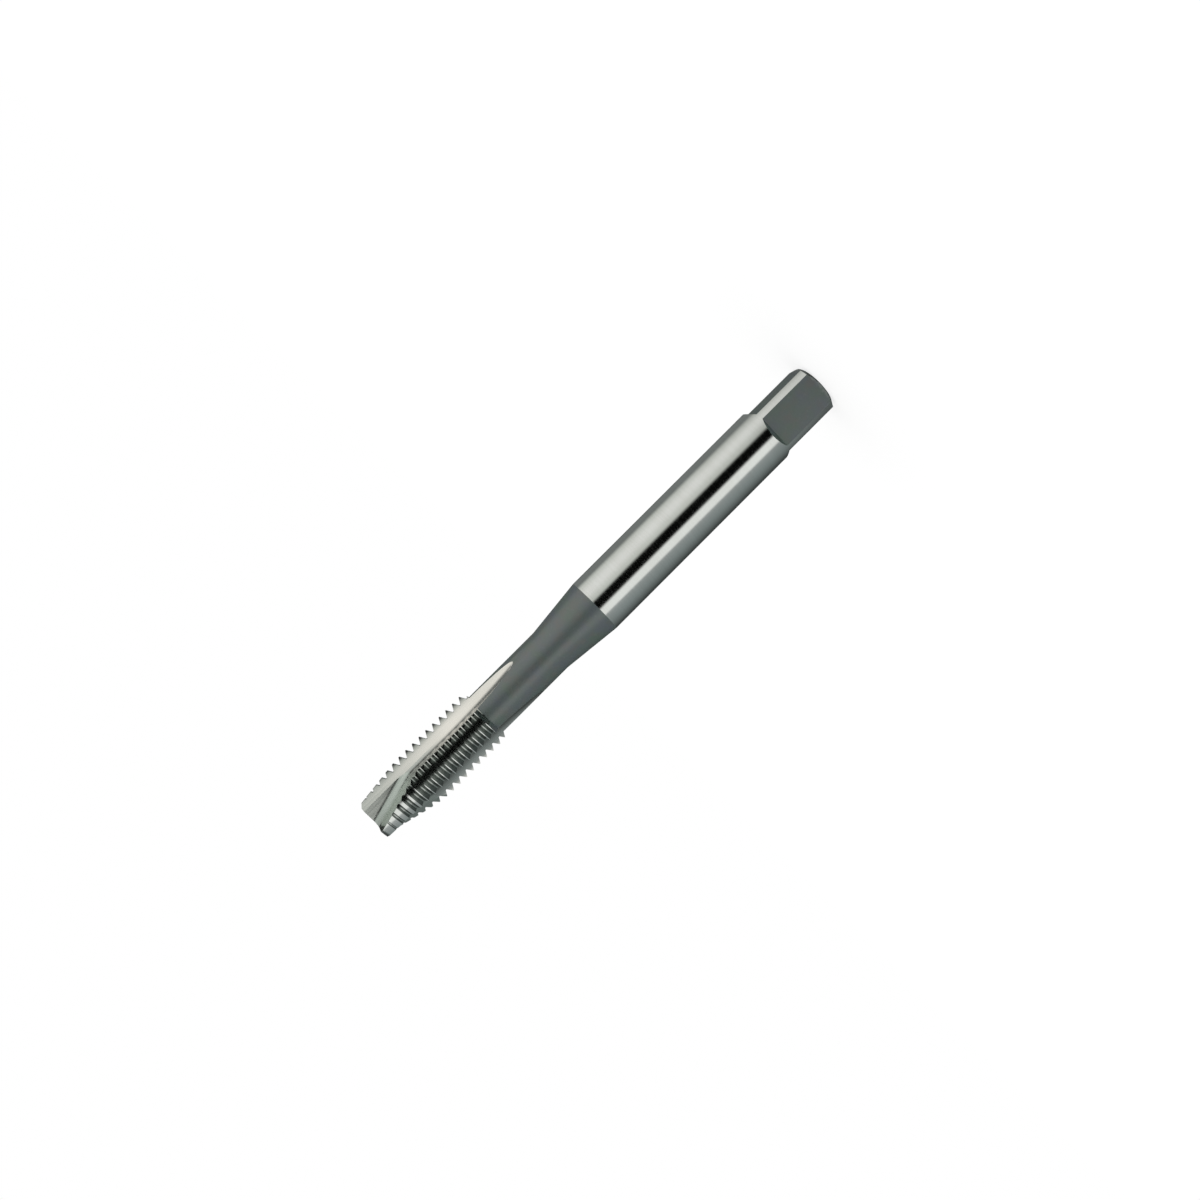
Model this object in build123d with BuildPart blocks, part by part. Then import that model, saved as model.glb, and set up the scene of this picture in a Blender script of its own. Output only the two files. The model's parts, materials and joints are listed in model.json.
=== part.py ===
from build123d import *

import math
import os

# A machine tap for M10 x 1.5 through holes, DIN 371 form B: three straight flutes, a spiral point and a
# full-diameter shank with a driving square. Millimetres. The tap stands on the end of its square: z = 0 is
# that face, and +Z runs up its axis to the cutting end.

# ---- driving dimensions -------------------------------------------------------------------------------
overall_length = 100.0

thread_major = 10.15
thread_root = 8.12
thread_pitch = 1.5
thread_flank_angle = 30.0
root_flat = 0.19
crest_height = 0.23
thread_length = 24.45

lead_taper_length = 8.4
lead_nose_diameter = 8.16
nose_chamfer_length = 0.5
nose_face_diameter = 7.1

neck_diameter = 7.85
neck_start = 61.0
shank_diameter = 10.0
shank_top = 50.9

square_sides = 4
square_across_flats = 8.0
square_length = 10.9
square_ramp_angle = 50.0
square_angle = 79.6
end_chamfer_length = 0.8
end_face_diameter = 7.6

flute_count = 3
flute_middle_angle = -41.0
flute_radius = 3.4
web_diameter = 6.0
flute_straight_length = 18.0
flute_wheel_radius = 130.0
flute_wheel_arc = 12.0

gash_length = 12.0
gash_nose_angle = -112.0
gash_sweep = 3.4
gash_core_radius = 0.96
gash_opening_angle = 101.1
gash_corner_radius = 1.6

centre_angle = 60.0
end_centre_diameter = 2.6
centre_pilot_diameter = 1.25
centre_depth = 3.0

clearance = 0.1
cutter_reach = 7.0
groove_overrun_angle = 8.0
gash_cutter_length = 24.0


# ---- radii and stations that follow from them ---------------------------------------------------------
major_radius = thread_major / 2
root_radius = thread_root / 2
neck_radius = neck_diameter / 2
shank_radius = shank_diameter / 2
web_radius = web_diameter / 2

thread_end = overall_length - thread_length
thread_full = thread_end + (major_radius - neck_radius) * math.tan(math.radians(thread_flank_angle))
taper_start = overall_length - nose_chamfer_length - lead_taper_length
nose_edge = overall_length - nose_chamfer_length

flute_runout = overall_length - flute_straight_length
flute_centre = web_radius + flute_radius
flute_half_width_angle = math.degrees(
    math.acos((major_radius**2 + flute_centre**2 - flute_radius**2) / (2 * major_radius * flute_centre))
)
flute_pitch_angle = 360.0 / flute_count
leading_edge_angle = flute_middle_angle - flute_half_width_angle
land_width_angle = flute_pitch_angle - 2 * flute_half_width_angle


def polar(radius, angle):
    """A point in the XY plane at this radius and angle in degrees."""
    return Vector(radius * math.cos(math.radians(angle)), radius * math.sin(math.radians(angle)))


# ---- thread groove: the space between two turns, as far as one land carries it -------------------------
# The groove is cut one land at a time, and each arc of it starts and ends in the open flutes.
groove_opening_radius = major_radius + clearance
groove_half_root = root_flat / 2
groove_half_opening = groove_half_root + (groove_opening_radius - root_radius) * math.tan(
    math.radians(thread_flank_angle)
)
groove_arc_angle = land_width_angle + 2 * groove_overrun_angle
groove_first_angle = leading_edge_angle - land_width_angle - groove_overrun_angle

with BuildPart() as thread_groove:
    with BuildLine() as groove_helix:
        Helix(pitch=thread_pitch, height=thread_pitch * groove_arc_angle / 360, radius=root_radius)
    with BuildSketch(Plane.XZ):
        with BuildLine():
            Polyline(
                (root_radius, -groove_half_root),
                (groove_opening_radius, -groove_half_opening),
                (groove_opening_radius, groove_half_opening),
                (root_radius, groove_half_root),
                close=True,
            )
        make_face()
    sweep(path=groove_helix.line, is_frenet=True)

# Each place is one land further round the helix, from below the thread's last turn to past the nose.
groove_lift = thread_pitch / flute_count
groove_first_height = crest_height + thread_pitch * (groove_first_angle / 360 + 0.5)
groove_places = [
    Location(
        (0, 0, groove_first_height + groove_lift * step),
        (0, 0, groove_first_angle + flute_pitch_angle * step),
    )
    for step in range(
        math.floor(thread_end / groove_lift) - flute_count,
        math.ceil(overall_length / groove_lift) + flute_count,
    )
]

# ---- flute: a round section, straight along the thread and then out round the grinding wheel ------------
# Drawn with +X along the middle of the flute.
with BuildPart() as flute_cutter:
    with BuildSketch(Plane.XY.offset(flute_runout)) as flute_section:
        with Locations((flute_centre, 0)):
            Circle(flute_radius)
    extrude(amount=flute_straight_length + clearance)
    revolve(
        flute_section.sketch,
        axis=Axis((web_radius + flute_wheel_radius, 0, flute_runout), (0, 1, 0)),
        revolution_arc=-flute_wheel_arc,
    )

# ---- spiral point: a gash whose wall carries the cutting edge back round the land towards the nose -----
# Drawn with +X along the wall at the nose. The floor runs parallel to the axis, gash_core_radius from it,
# and the whole section slides along the floor as it leaves the nose, until the wall is back at the flute.
floor_tilt = gash_opening_angle - 90
floor_heading = polar(1, gash_opening_angle)
gash_slide = gash_sweep / gash_length
gash_corner = Vector(gash_core_radius / math.cos(math.radians(floor_tilt)), 0)
floor_end = gash_corner + floor_heading * cutter_reach

with BuildPart() as gash_cutter:
    with BuildSketch(Plane.XY.offset(overall_length)) as gash_section:
        with BuildLine():
            Polyline(
                (cutter_reach, 0),
                gash_corner,
                floor_end,
                floor_end + Vector(cutter_reach, 0),
                close=True,
            )
        make_face()
        fillet(gash_section.vertices().sort_by_distance(gash_corner)[0], gash_corner_radius)
    extrude(
        amount=gash_cutter_length,
        dir=(floor_heading.X * gash_slide, floor_heading.Y * gash_slide, -1),
    )

# ---- square: one flat, with the steep ramp where the cutter lifts out ----------------------------------
flat_distance = square_across_flats / 2
ramp_length = (cutter_reach - flat_distance) / math.tan(math.radians(square_ramp_angle))

with BuildPart() as flat_cutter:
    with BuildSketch(Plane.XZ):
        with BuildLine():
            Polyline(
                (flat_distance, -clearance),
                (flat_distance, square_length),
                (cutter_reach, square_length + ramp_length),
                (cutter_reach, -clearance),
                close=True,
            )
        make_face()
    extrude(amount=cutter_reach, both=True)

# ---- the tap -------------------------------------------------------------------------------------------
with BuildPart() as tap:
    with BuildSketch(Plane.XZ):
        with BuildLine():
            Polyline(
                (0, 0),
                (end_face_diameter / 2, 0),
                (shank_radius, end_chamfer_length),
                (shank_radius, shank_top),
                (neck_radius, neck_start),
                (neck_radius, thread_end),
                (major_radius, thread_full),
                (major_radius, taper_start),
                (lead_nose_diameter / 2, nose_edge),
                (nose_face_diameter / 2, overall_length),
                (0, overall_length),
                close=True,
            )
        make_face()
    revolve(axis=Axis.Z)

    with PolarLocations(0, flute_count, start_angle=flute_middle_angle):
        add(flute_cutter.part, mode=Mode.SUBTRACT)
    with PolarLocations(0, flute_count, start_angle=gash_nose_angle):
        add(gash_cutter.part, mode=Mode.SUBTRACT)
    with PolarLocations(0, square_sides, start_angle=square_angle):
        add(flat_cutter.part, mode=Mode.SUBTRACT)
    with Locations(*groove_places):
        add(thread_groove.part, mode=Mode.SUBTRACT)
    with Locations(Plane.XY.rotated((180, 0, 0))):
        CounterSinkHole(
            radius=centre_pilot_diameter / 2,
            counter_sink_radius=end_centre_diameter / 2,
            depth=centre_depth,
            counter_sink_angle=centre_angle,
        )

os.makedirs("parts", exist_ok=True)
tap.part.label = "tap"
export_step(tap.part, "parts/tap.step")
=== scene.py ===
import json
import math

import bpy
import numpy as np
from mathutils import Matrix, Vector


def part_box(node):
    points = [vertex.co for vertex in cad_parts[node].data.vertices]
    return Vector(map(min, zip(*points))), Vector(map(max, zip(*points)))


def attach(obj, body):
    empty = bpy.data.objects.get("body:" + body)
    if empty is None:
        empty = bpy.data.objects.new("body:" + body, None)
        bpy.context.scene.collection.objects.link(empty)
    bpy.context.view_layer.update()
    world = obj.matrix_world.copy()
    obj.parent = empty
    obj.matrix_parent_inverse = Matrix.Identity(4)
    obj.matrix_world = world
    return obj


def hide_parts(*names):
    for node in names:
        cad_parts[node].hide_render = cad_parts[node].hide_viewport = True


# A machine tap for M10 x 1.5, standing on its square end. Lengths below are millimetres, and MM turns them
# into the metres of the frame. z = 0 is the square end, and +Z runs up the axis to the cutting end.

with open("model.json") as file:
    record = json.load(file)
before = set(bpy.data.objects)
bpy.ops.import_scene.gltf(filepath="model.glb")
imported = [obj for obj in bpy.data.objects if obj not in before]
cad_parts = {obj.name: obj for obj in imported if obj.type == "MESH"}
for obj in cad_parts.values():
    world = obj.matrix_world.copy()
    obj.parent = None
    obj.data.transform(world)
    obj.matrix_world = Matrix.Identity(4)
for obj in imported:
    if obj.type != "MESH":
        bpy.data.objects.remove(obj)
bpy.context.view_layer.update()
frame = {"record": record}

MM = 0.001

# ---- sizes -----------------------------------------------------------------------------------------------
tap_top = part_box("tap")[1]
mounts = {mount["name"]: mount for mount in frame["record"]["mounts"]}
shank_radius = mounts["shank"]["dims"]["r_mm"]
overall_length = tap_top.z / MM
square_face = Vector(mounts["square_flat_1"]["pos_m"]) / MM
flat_distance = square_face.xy.length
square_angle = math.degrees(math.atan2(square_face.y, square_face.x))

thread_major_radius = 5.075
thread_root_radius = 4.06
thread_pitch = 1.5
thread_flank_angle = 30.0
root_flat = 0.19
crest_height = 0.23
thread_length = 24.45
thread_end = overall_length - thread_length

lead_taper_length = 8.4
lead_nose_radius = 4.08
nose_chamfer_length = 0.5
nose_face_radius = 3.55
nose_edge = overall_length - nose_chamfer_length
taper_start = nose_edge - lead_taper_length
lead_angle = math.atan((thread_major_radius - lead_nose_radius) / lead_taper_length)

neck_radius = 3.925
neck_start = 61.0
shank_top = 50.9
end_chamfer_length = 0.8
end_face_radius = 3.8

square_sides = 4
square_length = 10.9
square_ramp_angle = 50.0

flute_count = 3
flute_middle_angle = -41.0
flute_radius = 3.4
web_radius = 3.0
flute_straight_length = 18.0
flute_runout = overall_length - flute_straight_length
flute_wheel_radius = 130.0
flute_wheel_arc = 12.0

gash_length = 12.0
gash_nose_angle = -112.0
gash_sweep = 3.4
gash_core_radius = 0.96
gash_opening_angle = 101.1
gash_corner_radius = 1.6
gash_cutter_length = 24.0

centre_radius = 1.3
centre_pilot_radius = 0.625
centre_depth = 3.0
centre_half_angle = 30.0

cutter_reach = 7.0
overshoot = 1.0
clearance = 0.1

# how finely the round forms are drawn, and the angle past which an edge stays sharp
columns = 576
flute_steps = 240
wheel_steps = 24
corner_steps = 24
sharp_edge_angle = 24.0

# ---- finishes, in the order of the tap's material slots --------------------------------------------------
GROUND_SHANK, OXIDE, GROUND_FLUTE, GROUND_GASH, THREAD_GROOVE, THREAD_CREST = range(6)


# ---- mesh helpers ----------------------------------------------------------------------------------------
def polar(radius, angle):
    """Points at this radius and these angles in degrees, in the XY plane."""
    turn = np.radians(angle)
    return np.stack([radius * np.cos(turn), radius * np.sin(turn)], axis=-1)


def place_object(name, data):
    """A new object with this mesh or camera, put in the scene."""
    placed = bpy.data.objects.new(name, data)
    bpy.context.scene.collection.objects.link(placed)
    return placed


def solid_object(name, vertices, faces, finishes):
    """A mesh object from points in millimetres, its faces, and each face's finish."""
    mesh = bpy.data.meshes.new(name)
    mesh.from_pydata((np.asarray(vertices) * MM).tolist(), [], faces)
    for material in tap_materials:
        mesh.materials.append(material)
    mesh.polygons.foreach_set("material_index", np.asarray(finishes, dtype=np.int32))
    mesh.update()
    return place_object(name, mesh)


def ring_solid(name, rings, finishes):
    """A closed solid from rings of points (rows, columns, 3): quads join each ring to the next, and a flat
    face closes the first and last ring. finishes has one entry a row of quads, then the two end faces."""
    row_count, column_count = rings.shape[:2]
    index = np.arange(row_count * column_count).reshape(row_count, column_count)
    following = np.roll(index, -1, axis=1)
    quads = np.stack([index[:-1], following[:-1], following[1:], index[1:]], axis=-1)
    faces = quads.reshape(-1, 4).tolist()
    faces.append(index[0][::-1].tolist())
    faces.append(index[-1].tolist())
    face_finishes = np.repeat(finishes[:-2], column_count).tolist() + list(finishes[-2:])
    return solid_object(name, rings.reshape(-1, 3), faces, face_finishes)


def turned_solid(name, outline, finishes):
    """A solid of revolution: each (radius, height) of the outline is a ring about the axis."""
    ring = polar(1.0, np.arange(columns) * 360.0 / columns)
    outline = np.asarray(outline, dtype=float)
    rings = np.empty((len(outline), columns, 3))
    rings[..., :2] = outline[:, None, :1] * ring
    rings[..., 2] = outline[:, 1:]
    return ring_solid(name, rings, finishes)


def arc_points(centre, radius, start_angle, end_angle, steps):
    """Points along an arc from one angle to the other, both ends included."""
    return np.asarray(centre) + polar(radius, np.linspace(start_angle, end_angle, steps + 1))


def turn_z(points, angle):
    """Points turned about the tap's axis."""
    c, s = math.cos(math.radians(angle)), math.sin(math.radians(angle))
    return points @ np.array([[c, s, 0.0], [-s, c, 0.0], [0.0, 0.0, 1.0]])


def combine(body, tool, operation):
    """Joins the tool to the body, cuts it away or keeps what both share, and removes the tool."""
    modifier = body.modifiers.new(operation, "BOOLEAN")
    modifier.operation = operation
    modifier.solver = "MANIFOLD"
    modifier.object = tool
    bpy.context.view_layer.update()
    evaluated = body.evaluated_get(bpy.context.evaluated_depsgraph_get())
    result = bpy.data.meshes.new_from_object(evaluated)
    body.modifiers.clear()
    spent = body.data
    body.data = result
    bpy.data.meshes.remove(spent)
    spent = tool.data
    bpy.data.objects.remove(tool)
    bpy.data.meshes.remove(spent)


# ---- the tap's forms -------------------------------------------------------------------------------------
def threaded_rod():
    """The thread with no end to it: at every angle the section through the axis is crest flat, flank, root
    flat, flank, and it climbs one pitch a turn, so each row of points is one helix. The last column joins
    the first one pitch higher. A fan to the axis closes each end."""
    flank_rise = (thread_major_radius - thread_root_radius) * math.tan(math.radians(thread_flank_angle))
    crest_flat = thread_pitch - root_flat - 2 * flank_rise
    radii = [thread_major_radius, thread_major_radius, thread_root_radius, thread_root_radius]
    crest_top = crest_flat / 2
    root_start = crest_top + flank_rise
    heights = np.array([-crest_top, crest_top, root_start, root_start + root_flat])
    per_turn = len(radii)
    # two turns to spare below the thread's end, and a top turn that lies past the nose
    first_turn = math.floor(thread_end / thread_pitch) - 2
    turns = math.ceil((overall_length + overshoot - thread_end) / thread_pitch) + 3
    row_heights = crest_height + (
        (first_turn + np.arange(turns))[:, None] * thread_pitch + heights[None, :]
    ).ravel()
    row_radii = np.tile(radii, turns)
    angles = np.arange(columns) * 360.0 / columns
    rings = np.empty((len(row_radii), columns, 3))
    rings[..., :2] = row_radii[:, None, None] * polar(1.0, angles)
    rings[..., 2] = row_heights[:, None] + thread_pitch * angles[None, :] / 360.0

    row_count = len(row_radii)
    index = np.arange(row_count * columns).reshape(row_count, columns)
    quads = np.stack([index[:-1, :-1], index[:-1, 1:], index[1:, 1:], index[1:, :-1]], axis=-1)
    seam = np.stack(
        [
            index[: -per_turn - 1, -1],
            index[per_turn:-1, 0],
            index[per_turn + 1 :, 0],
            index[1:-per_turn, -1],
        ],
        axis=-1,
    )
    low_loop = index[0].tolist() + index[1 : per_turn + 1, 0][::-1].tolist()
    high_loop = index[-1].tolist() + index[-per_turn - 1 : -1, -1][::-1].tolist()
    vertices = rings.reshape(-1, 3)
    low_centre = [0.0, 0.0, rings[0, :, 2].mean()]
    high_centre = [0.0, 0.0, rings[-1, :, 2].mean()]
    vertices = np.vstack([vertices, low_centre, high_centre])
    low_index, high_index = len(vertices) - 2, len(vertices) - 1
    faces = quads.reshape(-1, 4).tolist() + seam.tolist()
    faces += [[low_index, b, a] for a, b in zip(low_loop, low_loop[1:] + low_loop[:1])]
    faces += [[high_index, a, b] for a, b in zip(high_loop, high_loop[1:] + high_loop[:1])]
    row_finishes = np.where(np.arange(row_count - 1) % per_turn == 0, THREAD_CREST, THREAD_GROOVE)
    finishes = np.repeat(row_finishes, columns - 1).tolist() + row_finishes[: len(seam)].tolist()
    finishes += [THREAD_GROOVE] * (len(faces) - len(finishes))
    return solid_object("tap", vertices, faces, finishes)


def thread_envelope():
    """What the thread is ground inside: its end at the neck, the lead taper and the nose."""
    end_slope = math.tan(math.radians(thread_flank_angle))
    outline = [
        (neck_radius - clearance, thread_end - clearance * end_slope),
        (
            thread_major_radius + clearance,
            thread_end + (thread_major_radius + clearance - neck_radius) * end_slope,
        ),
        (thread_major_radius + clearance, taper_start - clearance / math.tan(lead_angle)),
        (lead_nose_radius, nose_edge),
        (nose_face_radius, overall_length),
    ]
    finishes = [OXIDE, THREAD_CREST, THREAD_CREST, THREAD_CREST, OXIDE, OXIDE]
    return turned_solid("envelope", outline, finishes)


def neck_and_shank():
    """The turned part from the square end to inside the thread's core."""
    outline = [
        (end_face_radius, 0.0),
        (shank_radius, end_chamfer_length),
        (shank_radius, shank_top),
        (neck_radius, neck_start),
        (neck_radius, thread_end + overshoot),
    ]
    return turned_solid("shank", outline, [OXIDE, GROUND_SHANK, OXIDE, OXIDE, OXIDE, OXIDE])


def flute_cutter(angle):
    """A round bar whose nearest side is the web: carried straight down the axis, then round the grinding
    wheel's own centre until it has left the neck. At a turn a of the wheel, a point at distance x from the
    axis is at web + wheel - (web + wheel - x) cos a, and (web + wheel - x) sin a further down."""
    section = polar(flute_radius, -np.arange(flute_steps) * 360.0 / flute_steps)
    section[:, 0] += web_radius + flute_radius
    turns = np.radians(np.linspace(0.0, flute_wheel_arc, wheel_steps + 1))
    from_wheel = web_radius + flute_wheel_radius - section[:, 0]
    rings = np.empty((len(turns) + 1, len(section), 3))
    rings[0, :, 0] = section[:, 0]
    rings[0, :, 2] = overall_length + overshoot
    rings[1:, :, 0] = web_radius + flute_wheel_radius - np.cos(turns)[:, None] * from_wheel
    rings[1:, :, 2] = flute_runout - np.sin(turns)[:, None] * from_wheel
    rings[..., 1] = section[:, 1]
    finishes = [GROUND_FLUTE] * (len(rings) + 1)
    return ring_solid("flute", turn_z(rings, angle), finishes)


def gash_cutter(angle):
    """The spiral point's outline, with +X up the wall that becomes the cutting face: the wall, a round
    corner and a floor that keeps its distance from the axis. It slides along its floor as it leaves the
    nose, so the wall crosses the land at a slant."""
    tilt = math.radians(gash_opening_angle) - math.pi / 2
    floor_direction = polar(1.0, gash_opening_angle)
    corner = np.array([gash_core_radius / math.cos(tilt), 0.0])
    setback = gash_corner_radius * math.tan((math.pi / 2 - tilt) / 2)
    centre = corner + np.array([setback, gash_corner_radius])
    rounded = arc_points(centre, gash_corner_radius, 270.0, 90.0 + gash_opening_angle, corner_steps)
    section = np.vstack(
        [
            [cutter_reach, 0.0],
            rounded,
            corner + floor_direction * cutter_reach,
            corner + floor_direction * cutter_reach + [cutter_reach, 0.0],
        ]
    )
    slide = gash_sweep / gash_length
    heights = np.array([overall_length + overshoot, overall_length - gash_cutter_length])
    rings = np.empty((2, len(section), 3))
    rings[..., :2] = section + (overall_length - heights)[:, None, None] * slide * floor_direction
    rings[..., 2] = heights[:, None]
    return ring_solid("gash", turn_z(rings, angle), [GROUND_GASH] * 3)


def flat_cutter(angle):
    """One side of the square: the outline in the plane of the axis, carried straight across the shank."""
    ramp_length = (cutter_reach - flat_distance) / math.tan(math.radians(square_ramp_angle))
    outline = np.array(
        [
            [flat_distance, -overshoot],
            [flat_distance, square_length],
            [cutter_reach, square_length + ramp_length],
            [cutter_reach, -overshoot],
        ]
    )
    rings = np.empty((2, len(outline), 3))
    rings[..., 0] = outline[:, 0]
    rings[..., 1] = np.array([[-cutter_reach], [cutter_reach]])
    rings[..., 2] = outline[:, 1]
    return ring_solid("flat", turn_z(rings, angle), [OXIDE] * 3)


def centre_cutter():
    """The 60 degree centre hole in the square end, with its small pilot."""
    slope = math.tan(math.radians(centre_half_angle))
    outline = [
        (centre_radius + overshoot * slope, -overshoot),
        (centre_pilot_radius, (centre_radius - centre_pilot_radius) / slope),
        (centre_pilot_radius, centre_depth),
    ]
    return turned_solid("centre", outline, [OXIDE] * 4)


def make_tap():
    """Thread, neck and shank joined, then cut by the flutes, the gashes, the square and the centre hole."""
    tap = threaded_rod()
    combine(tap, thread_envelope(), "INTERSECT")
    combine(tap, neck_and_shank(), "UNION")
    for step in range(flute_count):
        turn = 360.0 / flute_count * step
        combine(tap, flute_cutter(flute_middle_angle + turn), "DIFFERENCE")
        combine(tap, gash_cutter(gash_nose_angle + turn), "DIFFERENCE")
    for side in range(square_sides):
        combine(tap, flat_cutter(square_angle + 360.0 / square_sides * side), "DIFFERENCE")
    combine(tap, centre_cutter(), "DIFFERENCE")
    mesh = tap.data
    mesh.polygons.foreach_set("use_smooth", np.ones(len(mesh.polygons), dtype=bool))
    mesh.set_sharp_from_angle(angle=math.radians(sharp_edge_angle))
    return tap


# ---- materials -------------------------------------------------------------------------------------------
def linear(hex_colour):
    """An sRGB hex colour as linear RGBA."""
    values = [int(hex_colour[i : i + 2], 16) / 255 for i in (1, 3, 5)]
    return [v / 12.92 if v <= 0.04045 else ((v + 0.055) / 1.055) ** 2.4 for v in values] + [1.0]


def add_node(tree, kind, settings=None, inputs=None, links=None):
    """Adds a node, sets its properties and sockets, and links sockets to outputs of other nodes."""
    node = tree.nodes.new(kind)
    for key, value in (settings or {}).items():
        setattr(node, key, value)
    for key, value in (inputs or {}).items():
        node.inputs[key].default_value = value
    for key, output in (links or {}).items():
        tree.links.new(output, node.inputs[key])
    return node


def new_material(name):
    """A new material with an empty node tree, and that tree."""
    material = bpy.data.materials.new(name)
    material.use_nodes = True
    material.node_tree.nodes.clear()
    return material, material.node_tree


def grain(tree, place, size, detail=2.0):
    """Noise whose grains measure this many millimetres along X, Y and Z."""
    scaled = add_node(
        tree,
        "ShaderNodeVectorMath",
        settings={"operation": "MULTIPLY"},
        inputs={1: [1.0 / (length * MM) for length in size]},
        links={0: place},
    )
    noise = add_node(
        tree,
        "ShaderNodeTexNoise",
        inputs={"Scale": 1.0, "Detail": detail},
        links={"Vector": scaled.outputs[0]},
    )
    return noise.outputs[0]


def spread(tree, value, low, high):
    """Stretches the middle of a noise to run from low to high."""
    ranged = add_node(
        tree,
        "ShaderNodeMapRange",
        inputs={"From Min": 0.3, "From Max": 0.7, "To Min": low, "To Max": high},
        links={"Value": value},
    )
    return ranged.outputs["Result"]


def between(tree, share, first, second):
    """A colour mixed from two, by the share of the second one; each is a hex text or an output."""
    mix = add_node(tree, "ShaderNodeMix", settings={"data_type": "RGBA"}, links={0: share})
    for socket, colour in ((mix.inputs[6], first), (mix.inputs[7], second)):
        if isinstance(colour, str):
            socket.default_value = linear(colour)
        else:
            tree.links.new(colour, socket)
    return mix.outputs[2]


def metal_surface(tree, colour, roughness, height, depth, metallic=1.0, ior=1.5):
    """Ends a material: colour and roughness from nodes, and a bump this many millimetres deep."""
    bump = add_node(
        tree, "ShaderNodeBump", inputs={"Strength": 1.0, "Distance": depth * MM}, links={"Height": height}
    )
    shader = add_node(
        tree,
        "ShaderNodeBsdfPrincipled",
        inputs={"Metallic": metallic, "IOR": ior},
        links={"Base Color": colour, "Roughness": roughness, "Normal": bump.outputs["Normal"]},
    )
    add_node(tree, "ShaderNodeOutputMaterial", links={"Surface": shader.outputs["BSDF"]})


def ground_steel(name, dark, bright, roughness, line, depth, cloud):
    """Bare steel left by a grinding wheel: the lines it draws have this size along X, Y and Z, and shift the
    tone, the roughness and the surface; wide soft clouds of the same two tones lie over them."""
    material, tree = new_material(name)
    place = add_node(tree, "ShaderNodeTexCoord").outputs["Object"]
    lines = grain(tree, place, line)
    clouds = grain(tree, place, cloud, 1.0)
    tone = add_node(
        tree,
        "ShaderNodeMath",
        settings={"operation": "ADD"},
        links={0: spread(tree, lines, 0.0, 0.5), 1: spread(tree, clouds, 0.0, 0.5)},
    )
    metal_surface(
        tree,
        between(tree, tone.outputs[0], dark, bright),
        spread(tree, lines, *roughness),
        lines,
        depth,
    )
    return material


def steam_oxide(name):
    """The blue-black skin of steam-tempered high-speed steel over a turned surface. What the eye gets is a
    dull dark grey that drifts between green, blue and brown over a few millimetres, a fine dry grain, and
    bare metal showing through where the end's chamfer has been knocked."""
    material, tree = new_material(name)
    place = add_node(tree, "ShaderNodeTexCoord").outputs["Object"]
    tint = between(tree, spread(tree, grain(tree, place, (2.4, 2.4, 2.4)), 0.0, 1.0), "#43544a", "#464e55")
    brown = spread(tree, grain(tree, place, (1.5, 1.5, 1.9)), -0.5, 0.6)
    tint = between(tree, brown, tint, "#504e4a")
    # the grain of the oxide is 0.02 mm; it is drawn at 0.12 mm, the finest that shows
    skin = grain(tree, place, (0.12, 0.12, 0.12))
    tint = between(tree, spread(tree, skin, 0.0, 0.22), tint, "#59625e")
    # turning marks, 0.1 mm apart in truth, drawn at 0.25 mm
    marks = grain(tree, place, (6.0, 6.0, 0.25))
    height = add_node(
        tree, "ShaderNodeMath", settings={"operation": "ADD"}, links={0: skin, 1: marks}
    ).outputs[0]
    # wear on the chamfer of the driving end
    split = add_node(tree, "ShaderNodeSeparateXYZ", links={"Vector": place})
    low = add_node(
        tree,
        "ShaderNodeMapRange",
        inputs={"From Min": 1.1 * MM, "From Max": 0.3 * MM, "To Min": -0.4, "To Max": 0.25},
        links={"Value": split.outputs["Z"]},
    )
    worn = add_node(
        tree,
        "ShaderNodeMath",
        settings={"operation": "MULTIPLY_ADD", "use_clamp": True},
        inputs={1: 0.5},
        links={0: spread(tree, grain(tree, place, (0.5, 0.5, 0.3)), -0.2, 1.0), 2: low.outputs["Result"]},
    )
    metal_surface(
        tree,
        between(tree, worn.outputs[0], tint, "#787c79"),
        spread(tree, skin, 0.31, 0.37),
        height,
        0.0004,
        metallic=0.0,
        ior=1.85,
    )
    return material


# The wheel's lines are 0.02 to 0.04 mm apart in truth. They are drawn at 0.15 to 0.3 mm, so that they show.
tap_materials = [
    # Shank, ground between centres: mirror-like, with lines round it that soften reflections lengthwise.
    ground_steel(
        "steel_cylindrical_ground", "#d9dad8", "#e1e3e2", (0.1, 0.15), (14, 14, 0.22), 0.00025, (9, 9, 3)
    ),
    steam_oxide("steel_steam_oxide"),
    # Flutes, ground by a wheel that ran lengthwise: a satin wall with lines along the tap.
    ground_steel(
        "steel_flute_ground", "#d0d0cd", "#dddcd9", (0.2, 0.28), (0.22, 0.22, 9), 0.0004, (2, 2, 7)
    ),
    # Spiral points, ground by a cup wheel from the nose: satin, the lines a little shorter and deeper.
    ground_steel(
        "steel_gash_ground", "#d9ddd8", "#e6e9e4", (0.22, 0.3), (0.3, 0.3, 3.2), 0.0005, (2, 2, 3)
    ),
    # Thread grooves, ground by a dressed wheel: a darker tone than the crests.
    ground_steel(
        "steel_thread_groove", "#a0a4a1", "#b0b4b1", (0.14, 0.2), (9, 9, 0.15), 0.0003, (1.5, 1.5, 1.5)
    ),
    # Thread crests and the lead's truncated crests: as bright as the shank, slightly smeared by use.
    ground_steel(
        "steel_thread_crest", "#d9dad8", "#e4e6e5", (0.11, 0.17), (14, 14, 0.18), 0.00025, (1.2, 1.2, 1.2)
    ),
]

tap = make_tap()
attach(tap, "root")
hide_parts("tap")


# ---- studio ----------------------------------------------------------------------------------------------
# The paper's own white is a little over the world's. The share is how much of what the camera sees is that
# white. The sheet reaches FLOOR_HALF millimetres each way.
PAPER_GLOW = 1.06
PAPER_GLOW_SHARE = 0.72
FLOOR_HALF = 4000.0


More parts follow.
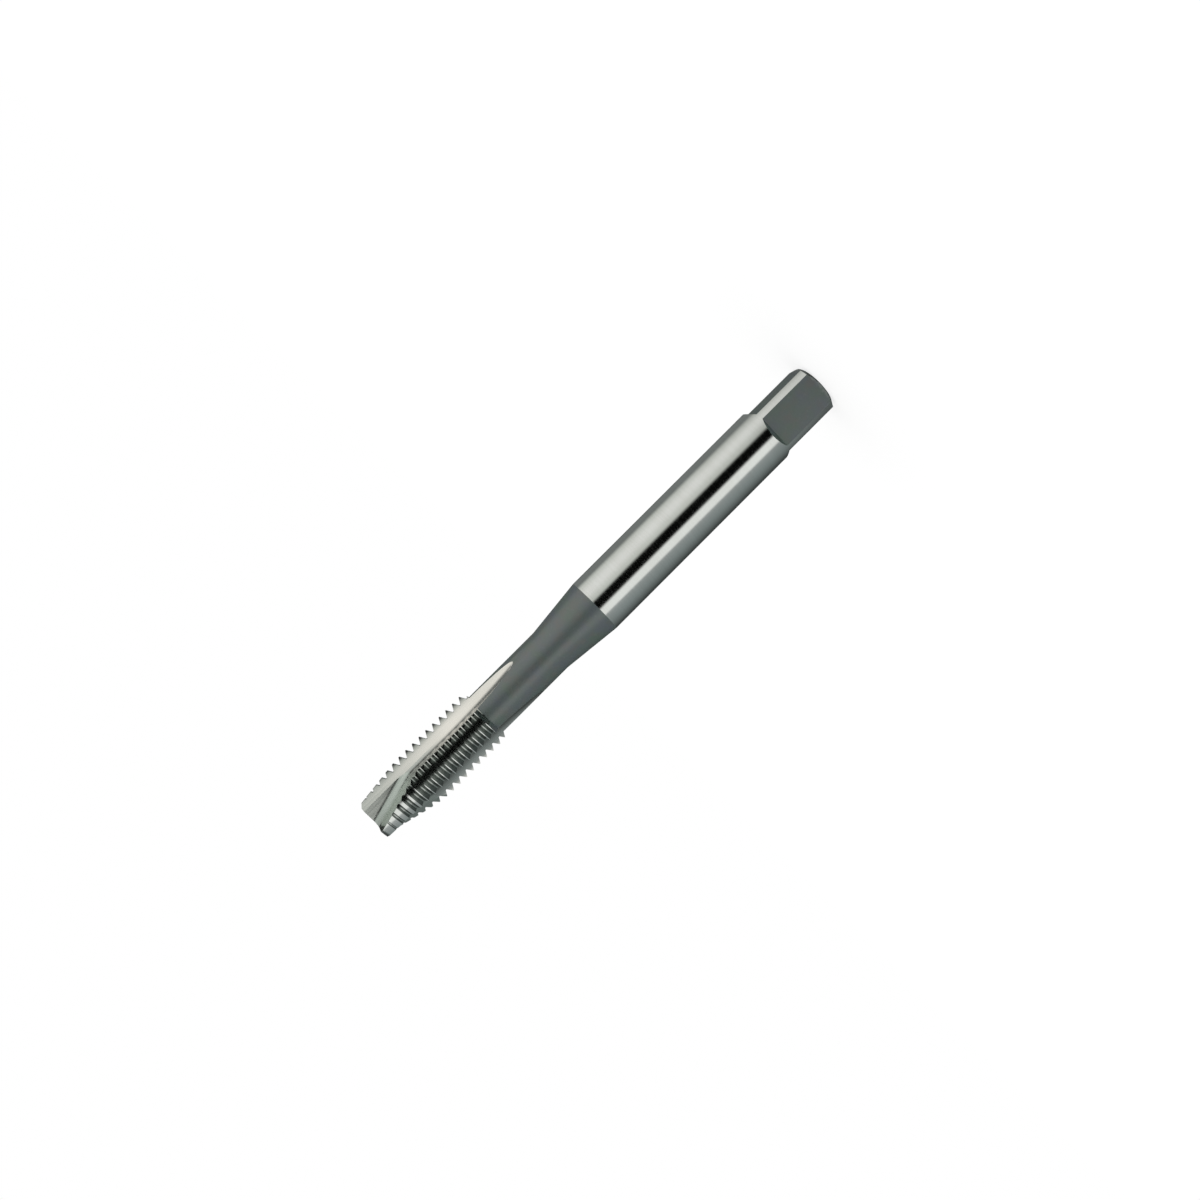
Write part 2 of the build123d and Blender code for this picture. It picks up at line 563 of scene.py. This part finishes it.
def floor_material():
    """Matt white paper. Most of what the camera sees is its own white, so that it stays white and still
    shows the tap's soft shadow."""
    material, tree = new_material("white_paper")
    paper = add_node(tree, "ShaderNodeBsdfDiffuse", inputs={"Color": linear("#f4f4f4")})
    white = add_node(tree, "ShaderNodeEmission", inputs={"Color": linear("#ffffff"), "Strength": PAPER_GLOW})
    path = add_node(tree, "ShaderNodeLightPath")
    seen = path.outputs["Is Camera Ray"]
    for kind in ("Is Glossy Ray", "Is Transmission Ray"):
        seen = add_node(
            tree, "ShaderNodeMath", settings={"operation": "ADD"}, links={0: seen, 1: path.outputs[kind]}
        ).outputs[0]
    share = add_node(
        tree,
        "ShaderNodeMath",
        settings={"operation": "MULTIPLY", "use_clamp": True},
        inputs={1: PAPER_GLOW_SHARE},
        links={0: seen},
    )
    mix = add_node(
        tree,
        "ShaderNodeMixShader",
        links={"Fac": share.outputs[0], 1: paper.outputs[0], 2: white.outputs[0]},
    )
    add_node(tree, "ShaderNodeOutputMaterial", links={"Surface": mix.outputs[0]})
    return material


def paper_floor():
    """The sheet that the tap stands on. Mirrors see the drum's floor in its place."""
    corners = np.array([(-1, -1, 0), (1, -1, 0), (1, 1, 0), (-1, 1, 0)]) * FLOOR_HALF * MM
    mesh = bpy.data.meshes.new("floor")
    mesh.from_pydata(corners.tolist(), [], [[0, 1, 2, 3]])
    mesh.materials.append(floor_material())
    floor = place_object("floor", mesh)
    floor.visible_glossy = False


# The studio is a round wall of grey cloth with soft panels before it. Directions are degrees round the tap,
# counted from the camera towards the tap's -X side; heights are millimetres above the floor. Left and right
# are as seen from the tap.
STUDIO_RADIUS = 214.0
STUDIO_LOW, STUDIO_HIGH = -260.0, 560.0
STUDIO_COLUMNS, STUDIO_ROWS = 720, 165
STUDIO_FLOOR, STUDIO_CEILING = "#2c302e", "#b4b8b6"

# The cloth's own grey by direction. It is black in front, where the camera looks out.
studio_cloth = [
    (-180.0, "#4c514f"),
    (-140.0, "#7c807e"),
    (-98.0, "#7c807e"),
    (-88.0, "#060706"),
    (29.0, "#060706"),
    (35.0, "#a4a9a8"),
    (56.0, "#a4a9a8"),
    (66.0, "#979e9d"),
    (90.0, "#858e8d"),
    (112.0, "#6d7473"),
    (140.0, "#424746"),
    (180.0, "#4c514f"),
]

# Each panel, from the back one to the front one. left and right are its side edges at the three heights, and
# span is its bottom and top. The soft widths go with the edges in the same order. The level multiplies the
# colour, and only the middle of the left lamp is above 1.
PANEL_HEIGHTS = (30.0, 140.0, 190.0)
studio_panels = [
    # left: the wall darkens behind the light box, upwards
    {
        "colour": "#2b2e2c", "level": 1.0, "left": (-220, -220, -220), "right": (-103, -103, -103),
        "side_soft": (20, 24), "span": (112, 900), "span_soft": (70, 60),
    },
    # left: a wide cool reflector, brighter below, the light box before it and the warm middle of its lamp
    {
        "colour": "#c4cbc6", "level": 1.0, "left": (-100, -100, -100), "right": (-17, -13, -9),
        "side_soft": (23, 14), "span": (60, 230), "span_soft": (60, 110),
    },
    {
        "colour": "#d2d5ce", "level": 1.0, "left": (-100, -100, -100), "right": (-17, -13, -9),
        "side_soft": (23, 14), "span": (-78, 118), "span_soft": (190, 40),
    },
    {
        "colour": "#f0f0ec", "level": 1.0, "left": (-80, -80, -80), "right": (-37, -32, -30),
        "side_soft": (38, 34), "span": (-78, 119), "span_soft": (190, 26),
    },
    {
        "colour": "#fffbf3", "level": 1.35, "left": (-104, -104, -104), "right": (-34, -34, -34),
        "side_soft": (22, 24), "span": (82, 115), "span_soft": (40, 22),
    },
    # right: the tall white strip and the lamp over it
    {
        "colour": "#f8faf6", "level": 1.0, "left": (21.5, 24, 6), "right": (53, 50, 42),
        "side_soft": (12, 9), "span": (-300, 260), "span_soft": (60, 60),
    },
    {
        "colour": "#f8faf6", "level": 1.0, "left": (26, 26, 26), "right": (68, 68, 68),
        "side_soft": (8, 20), "span": (290, 900), "span_soft": (60, 60),
    },
    # right: the bench's shade
    {
        "colour": "#565b5a", "level": 1.0, "left": (48, 48, 48), "right": (220, 220, 220),
        "side_soft": (20, 10), "span": (-500, -50), "span_soft": (60, 40),
    },
]


def soft_edge(places, edge, softness):
    """0 before the edge and 1 past it, with a smooth S between, as wide as the softness."""
    share = np.clip((places - edge) / softness + 0.5, 0.0, 1.0)
    return share * share * (3.0 - 2.0 * share)


def studio_colours(turns, heights):
    """The cloth's grey, then each panel over it: its colour where all four of its soft edges are past."""
    places = [turn for turn, _ in studio_cloth]
    cloth = np.array([linear(colour)[:3] for _, colour in studio_cloth])
    colours = np.stack([np.interp(turns, places, cloth[:, i]) for i in range(3)], axis=-1)
    for panel in studio_panels:
        left, right = (np.interp(heights, PANEL_HEIGHTS, panel[side]) for side in ("left", "right"))
        left_soft, right_soft = panel["side_soft"]
        low, high = panel["span"]
        low_soft, high_soft = panel["span_soft"]
        share = soft_edge(turns, left, left_soft) * (1.0 - soft_edge(turns, right, right_soft))
        share *= soft_edge(heights, low, low_soft) * (1.0 - soft_edge(heights, high, high_soft))
        light = panel["level"] * np.array(linear(panel["colour"])[:3])
        colours += share[..., None] * (light - colours)
    return colours


def studio_wall():
    """The studio as a drum round the tap, closed by a dark floor and a pale ceiling, each point in its
    colour. Only mirrors see it: the camera, the matt surfaces and the shadows don't."""
    turns, heights = np.meshgrid(
        np.linspace(-180.0, 180.0, STUDIO_COLUMNS, endpoint=False),
        np.linspace(STUDIO_LOW, STUDIO_HIGH, STUDIO_ROWS),
    )
    rings = np.concatenate([polar(STUDIO_RADIUS, -90.0 - turns), heights[..., None]], axis=-1)
    index = np.arange(turns.size).reshape(turns.shape)
    following = np.roll(index, -1, axis=1)
    quads = np.stack([index[:-1], following[:-1], following[1:], index[1:]], axis=-1).reshape(-1, 4)
    faces = quads.tolist() + [index[0].tolist(), index[-1][::-1].tolist()]
    mesh = bpy.data.meshes.new("studio_wall")
    mesh.from_pydata((rings.reshape(-1, 3) * MM).tolist(), [], faces)
    paint = mesh.color_attributes.new("panels", "FLOAT_COLOR", "CORNER")
    colours = np.ones((len(mesh.loops), 4))
    corner_points = np.empty(len(mesh.loops), dtype=np.int32)
    mesh.loops.foreach_get("vertex_index", corner_points)
    colours[:, :3] = studio_colours(turns, heights).reshape(-1, 3)[corner_points]
    colours[quads.size : quads.size + STUDIO_COLUMNS, :3] = linear(STUDIO_FLOOR)[:3]
    colours[quads.size + STUDIO_COLUMNS :, :3] = linear(STUDIO_CEILING)[:3]
    paint.data.foreach_set("color", colours.ravel())
    material, tree = new_material("studio_panels")
    panels = add_node(tree, "ShaderNodeAttribute", settings={"attribute_name": "panels"})
    glow = add_node(tree, "ShaderNodeEmission", links={"Color": panels.outputs["Color"]})
    add_node(tree, "ShaderNodeOutputMaterial", links={"Surface": glow.outputs[0]})
    mesh.materials.append(material)
    wall = place_object("studio_wall", mesh)
    wall.visible_camera = False
    wall.visible_diffuse = False
    wall.visible_transmission = False
    wall.visible_shadow = False


def white_world():
    """One plain white level all round. It lies behind the tap and lights its matt skin, and mirrors see the
    drum instead."""
    world = bpy.data.worlds.new("white_studio")
    bpy.context.scene.world = world
    world.use_nodes = True
    tree = world.node_tree
    tree.nodes.clear()
    white = add_node(tree, "ShaderNodeBackground", inputs={"Color": linear("#ffffff"), "Strength": 1.0})
    add_node(tree, "ShaderNodeOutputWorld", links={"Surface": white.outputs[0]})


paper_floor()
studio_wall()
white_world()

# ---- camera ----------------------------------------------------------------------------------------------
# It looks across the standing tap from a little above its middle and slightly down, turned so that the
# cutting end is at the lower left.
camera_place = Vector((0.08, -214.0, 60.6)) * MM
camera_aim = Vector((0.08, 0.0, 49.6)) * MM
camera_up = Vector((0.7069, 0.0, -0.7073))
camera_data = bpy.data.cameras.new("camera")
camera_data.sensor_width = 36.0
camera_data.lens = 39.73
camera_data.clip_start = 0.005
camera = place_object("camera", camera_data)
back = (camera_place - camera_aim).normalized()
right = camera_up.cross(back).normalized()
up = back.cross(right)
camera.matrix_world = Matrix(
    (
        (right.x, up.x, back.x, camera_place.x),
        (right.y, up.y, back.y, camera_place.y),
        (right.z, up.z, back.z, camera_place.z),
        (0.0, 0.0, 0.0, 1.0),
    )
)
bpy.context.scene.camera = camera

bpy.context.scene.view_settings.view_transform = "Standard"
